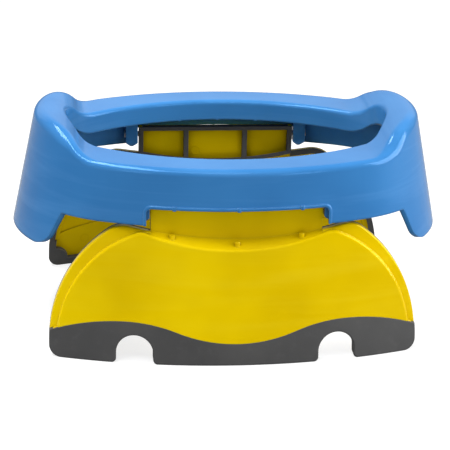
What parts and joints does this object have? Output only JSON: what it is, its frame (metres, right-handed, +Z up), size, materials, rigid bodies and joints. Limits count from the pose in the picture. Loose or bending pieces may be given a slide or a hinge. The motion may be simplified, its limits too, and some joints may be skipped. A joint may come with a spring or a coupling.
{
  "type": "folding potty training chair",
  "caption": "Saddle-shaped potty seat ring on two arched folding legs with soft foot and neck grips; the legs swing out flat to sit on an adult toilet.",
  "frame": {"origin": "on the floor at the middle of the footprint", "axes": "+X along the seat's length, +Y to the rear leg, +Z up"},
  "size_m": [0.3388, 0.2426, 0.1713],
  "materials": {
    "seat_gloss": "polished blue moulding",
    "leg_gloss": "polished yellow moulding",
    "soft_grip": "fine matt soft overmould",
    "pin_steel": "drawn steel"
  },
  "bodies": {
    "seat": {"seat_ring": "seat_gloss", "rear_right_pin": "pin_steel", "rear_left_pin": "pin_steel", "front_right_pin": "pin_steel", "front_left_pin": "pin_steel"},
    "rear_leg": {"rear_leg_panel": "leg_gloss", "rear_foot_grip": "soft_grip", "rear_neck_grip": "soft_grip"},
    "front_leg": {"front_leg_panel": "leg_gloss", "front_foot_grip": "soft_grip", "front_neck_grip": "soft_grip"}
  },
  "joints": [
    {"name": "rear_leg_fold", "type": "hinge", "parent": "seat", "child": "rear_leg", "pos_m": [0, 0.09147, 0.118], "axis": [1, 0, 0], "range_deg": [-74, 81.4]},
    {"name": "front_leg_fold", "type": "hinge", "parent": "seat", "child": "front_leg", "pos_m": [0, -0.09147, 0.118], "axis": [-1, 0, 0], "range_deg": [-90, 81.4]}
  ]
}
